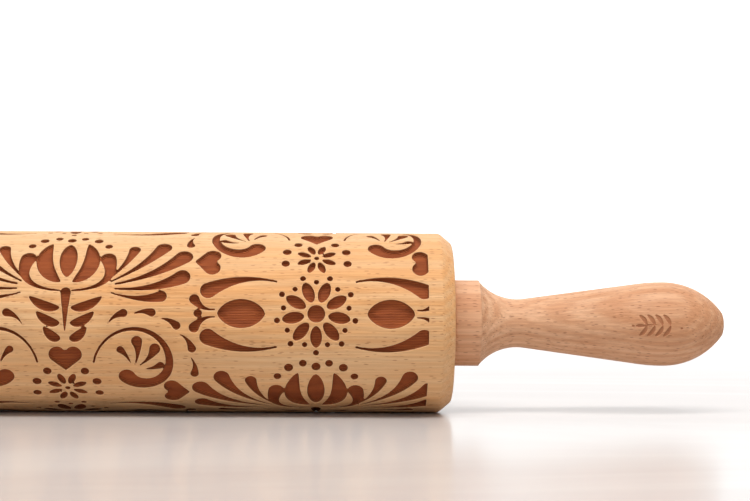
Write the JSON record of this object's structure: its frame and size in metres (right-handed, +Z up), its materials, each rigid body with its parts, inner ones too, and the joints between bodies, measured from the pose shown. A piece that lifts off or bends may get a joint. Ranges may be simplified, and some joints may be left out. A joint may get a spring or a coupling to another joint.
{
  "type": "engraved rolling pin",
  "caption": "Beech rolling pin with a folk-flower relief on its barrel, which turns on ball bearings between two turned handles.",
  "frame": {"origin": "on the roller's axis at the middle of the barrel", "axes": "+X along the axis from the left handle to the right handle, +Z up, -Y towards the person who looks at it"},
  "size_m": [0.434, 0.06, 0.06],
  "materials": {
    "engraved_beech": "sanded, unvarnished, with burnt recesses",
    "turned_beech": "turned and sanded, unvarnished",
    "steel": "turned bright steel",
    "bearing_steel": "ground and polished",
    "brass": "machined",
    "nylon": "moulded, matte"
  },
  "bodies": {
    "handles": {"handle_left": "turned_beech", "handle_right": "turned_beech", "axle": "steel", "insert_nut_left": "brass", "insert_nut_right": "brass", "spacer_washer_left": "steel", "spacer_washer_right": "steel", "bearing_inner_ring_left": "bearing_steel", "bearing_inner_ring_right": "bearing_steel"},
    "barrel": {"barrel": "engraved_beech", "bearing_outer_ring_left": "bearing_steel", "bearing_outer_ring_right": "bearing_steel", "bearing_inboard_shield_left": "bearing_steel", "bearing_inboard_shield_right": "bearing_steel", "bearing_outboard_shield_left": "bearing_steel", "bearing_outboard_shield_right": "bearing_steel"},
    "ball_set_left": {"bearing_balls_left": "bearing_steel", "bearing_cage_left": "nylon"},
    "ball_set_right": {"bearing_balls_right": "bearing_steel", "bearing_cage_right": "nylon"}
  },
  "joints": [
    {"name": "barrel_spin", "type": "hinge", "parent": "handles", "child": "barrel", "pos_m": [0, 0, 0], "axis": [1, 0, 0], "continuous": true},
    {"name": "ball_set_left_spin", "type": "hinge", "parent": "handles", "child": "ball_set_left", "pos_m": [-0.1211, 0, 0], "axis": [1, 0, 0], "continuous": true},
    {"name": "ball_set_right_spin", "type": "hinge", "parent": "handles", "child": "ball_set_right", "pos_m": [0.1211, 0, 0], "axis": [1, 0, 0], "continuous": true}
  ],
  "couplings": [
    {"joint": "ball_set_left_spin", "follows": "barrel_spin", "ratio": 0.63233},
    {"joint": "ball_set_right_spin", "follows": "barrel_spin", "ratio": 0.63233}
  ]
}
